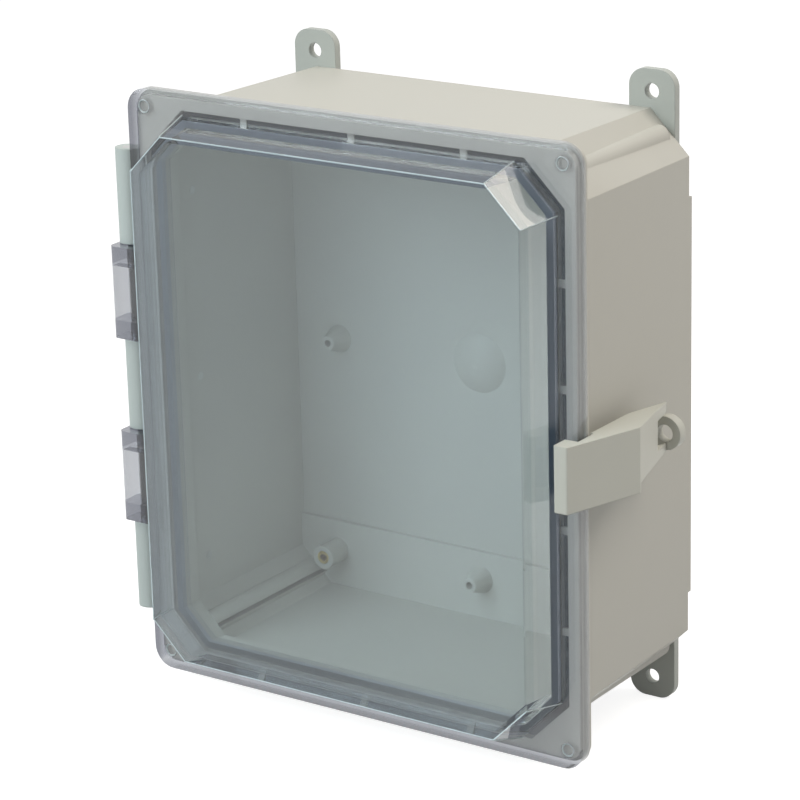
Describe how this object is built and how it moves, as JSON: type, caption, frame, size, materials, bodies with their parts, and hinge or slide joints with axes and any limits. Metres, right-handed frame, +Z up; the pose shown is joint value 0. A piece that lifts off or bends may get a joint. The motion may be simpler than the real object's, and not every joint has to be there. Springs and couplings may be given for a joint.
{
  "type": "hinged polycarbonate enclosure",
  "caption": "Wall-mounted grey polycarbonate enclosure with a clear raised cover on a side hinge, a snap latch with padlock eye and screw-on mounting feet.",
  "frame": {"origin": "centre of the four wall holes, on the wall plane behind the feet", "axes": "+X towards the latch side, +Y into the wall, +Z up; the cover faces -Y"},
  "size_m": [0.2674, 0.1312, 0.3],
  "materials": {
    "grey_body": "satin",
    "clear_cover": "gloss",
    "gasket": "matte",
    "grey_rail": "satin",
    "grey_latch": "satin",
    "grey_feet": "satin",
    "steel": "satin",
    "brass": "satin"
  },
  "bodies": {
    "enclosure": {"enclosure_body": "grey_body", "hinge_rail": "grey_rail", "hinge_pin": "steel", "hinge_screw_top": "steel", "hinge_screw_middle": "steel", "hinge_screw_bottom": "steel", "padlock_staple": "grey_latch", "staple_screw": "steel", "mounting_foot_top_left": "grey_feet", "panel_insert_top_left": "brass", "mounting_foot_top_right": "grey_feet", "panel_insert_top_right": "brass", "mounting_foot_bottom_left": "grey_feet", "panel_insert_bottom_left": "brass", "mounting_foot_bottom_right": "grey_feet", "panel_insert_bottom_right": "brass"},
    "cover": {"clear_cover": "clear_cover", "cover_gasket": "gasket", "latch_pin": "steel"},
    "latch": {"latch_lever": "grey_latch"}
  },
  "joints": [
    {"name": "cover_hinge", "type": "hinge", "parent": "enclosure", "child": "cover", "pos_m": [-0.1285, -0.1017, 0], "axis": [0, 0, -1], "range_deg": [0, 180]},
    {"name": "latch_pivot", "type": "hinge", "parent": "cover", "child": "latch", "pos_m": [0.117, -0.1167, 0], "axis": [0, 0, -1], "range_deg": [0, 80]}
  ]
}
